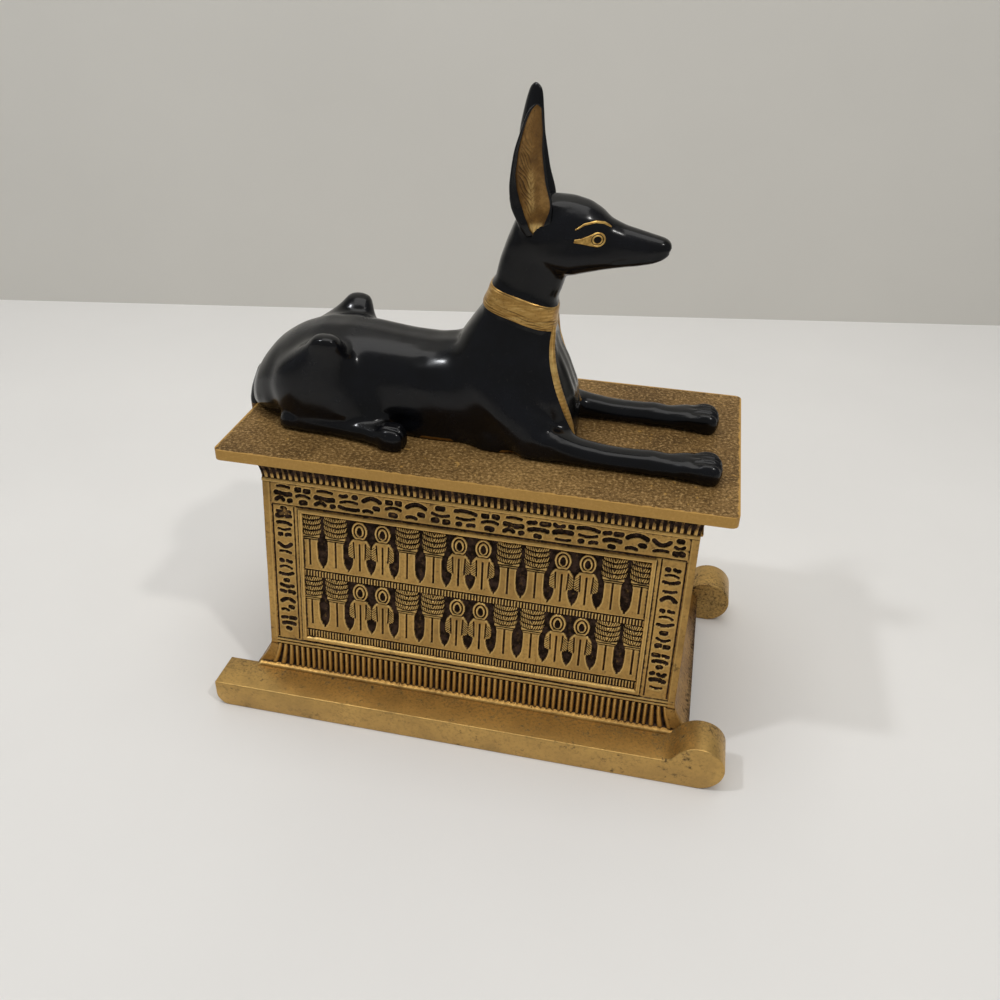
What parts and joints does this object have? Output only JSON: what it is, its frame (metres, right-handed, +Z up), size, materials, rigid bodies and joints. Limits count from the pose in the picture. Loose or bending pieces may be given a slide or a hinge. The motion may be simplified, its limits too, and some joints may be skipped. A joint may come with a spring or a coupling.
{
  "type": "jackal statue on a shrine chest",
  "caption": "Recumbent black jackal on a gold shrine chest with relief-carved long sides, a flared cornice, an overhanging lid slab and a sledge base with rolled front ends.",
  "frame": {"origin": "centre of the footprint, at floor level", "axes": "+Z up, +X the way the jackal faces, -Y towards the long side seen in the picture"},
  "size_m": [0.1934, 0.1124, 0.221],
  "materials": {
    "black_lacquer": "near-black lacquer, glossy",
    "gold_slab": "antique gold paint, grainy, satin",
    "gold_relief": "antique gold paint with a dark brown wash in the recesses"
  },
  "bodies": {
    "root": {"jackal": "black_lacquer", "lid_slab": "gold_slab", "shrine_chest": "gold_relief"}
  },
  "joints": []
}
